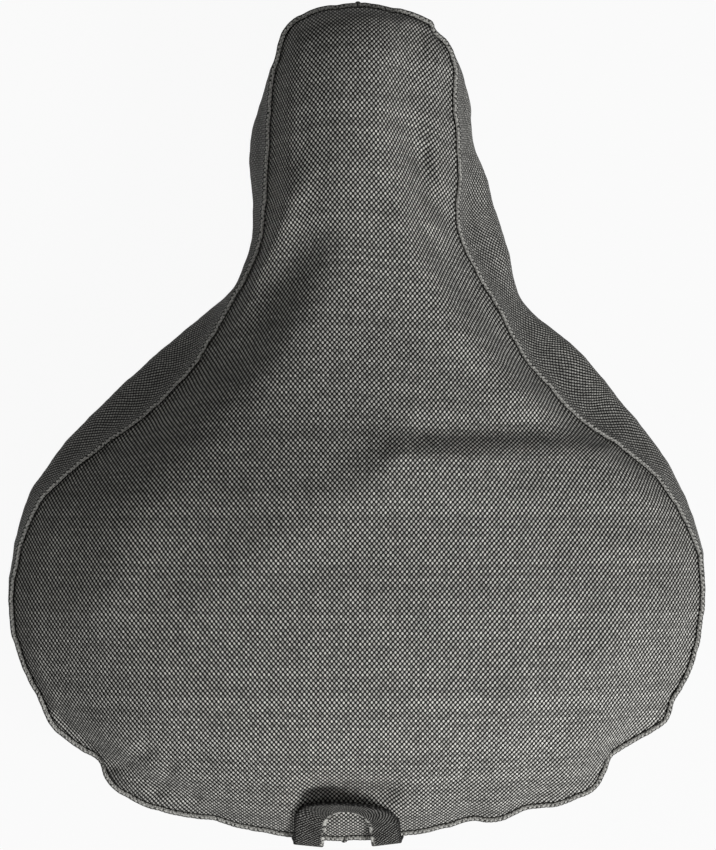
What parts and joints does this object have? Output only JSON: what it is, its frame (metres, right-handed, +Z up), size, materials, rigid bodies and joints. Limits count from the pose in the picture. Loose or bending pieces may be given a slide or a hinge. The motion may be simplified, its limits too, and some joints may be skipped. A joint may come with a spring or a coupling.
{
  "type": "bicycle saddle cover",
  "caption": "Woven cloth cover for a wide bicycle saddle, with a crowned top panel, flared side panels, an elastic hem and a webbing pull loop at the rear.",
  "frame": {"origin": "middle of the cover's length and width, on the plane its hem stands on", "axes": "+Y towards the nose, +X to the rider's right, +Z up"},
  "size_m": [0.2234, 0.2696, 0.0857],
  "materials": {
    "woven_cloth": "coarse plain weave, matt with a faint sheen on the yarns",
    "webbing": "dense ribbed webbing, matt",
    "thread": "twisted polyester thread",
    "elastic": "covered elastic cord"
  },
  "bodies": {
    "root": {"top_panel": "woven_cloth", "side_panel_left": "woven_cloth", "side_panel_right": "woven_cloth", "hem_elastic": "elastic", "rear_loop": "webbing", "bar_tack_left": "thread", "bar_tack_right": "thread", "top_seam_thread": "thread", "hem_thread": "thread", "rear_seam_thread": "thread", "nose_seam_thread": "thread"}
  },
  "joints": []
}
